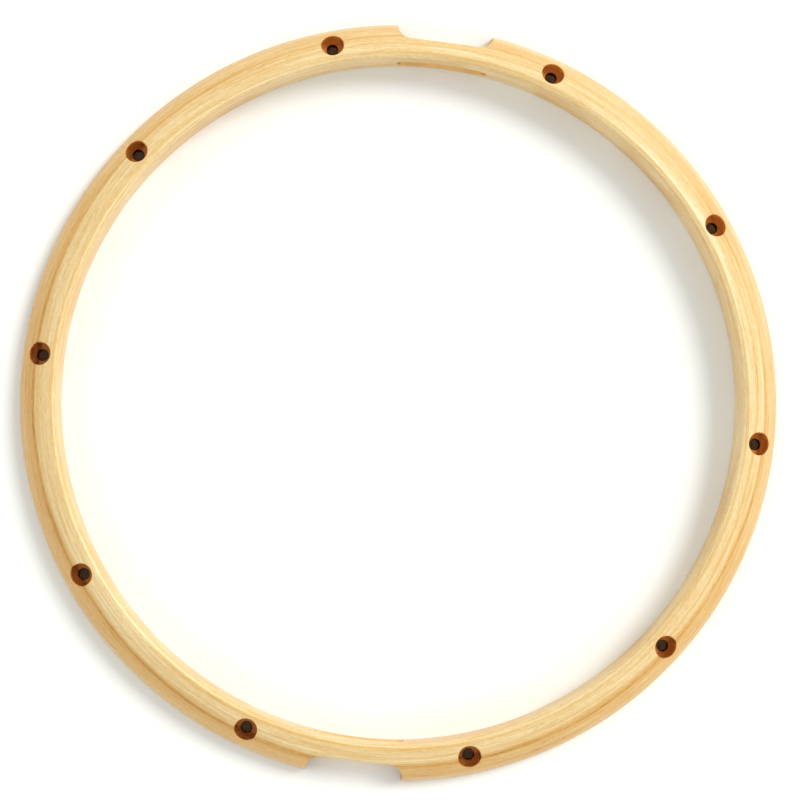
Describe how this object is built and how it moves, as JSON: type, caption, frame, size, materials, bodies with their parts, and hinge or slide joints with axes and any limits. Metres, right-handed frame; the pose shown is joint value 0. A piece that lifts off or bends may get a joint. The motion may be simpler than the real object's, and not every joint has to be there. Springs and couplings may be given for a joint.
{
  "type": "laminated wooden drum hoop",
  "caption": "Bare laminated maple drum hoop for the snare side: round-over top, flat base, counterbored tension-rod holes and two snare gates with strap slots.",
  "frame": {"origin": "centre of the flat base, on the hoop's axis", "axes": "+Z along the hoop's axis, from the flat base to the rounded top; +Y and -Y through the middles of the two snare gates; a rod hole on +X"},
  "size_m": [0.4035, 0.4004, 0.0244],
  "materials": {
    "maple_warm": "clear satin lacquer over warm maple veneer",
    "maple_pale": "clear satin lacquer over pale maple veneer"
  },
  "bodies": {
    "root": {"ply_01_inner": "maple_warm", "ply_02": "maple_pale", "ply_03": "maple_warm", "ply_04": "maple_pale", "ply_05": "maple_warm", "ply_06": "maple_pale", "ply_07": "maple_warm", "ply_08": "maple_pale", "ply_09": "maple_warm", "ply_10": "maple_pale", "ply_11": "maple_warm", "ply_12": "maple_pale", "ply_13": "maple_warm", "ply_14": "maple_pale", "ply_15": "maple_warm", "ply_16": "maple_pale", "ply_17": "maple_warm", "ply_18_outer": "maple_pale"}
  },
  "joints": []
}
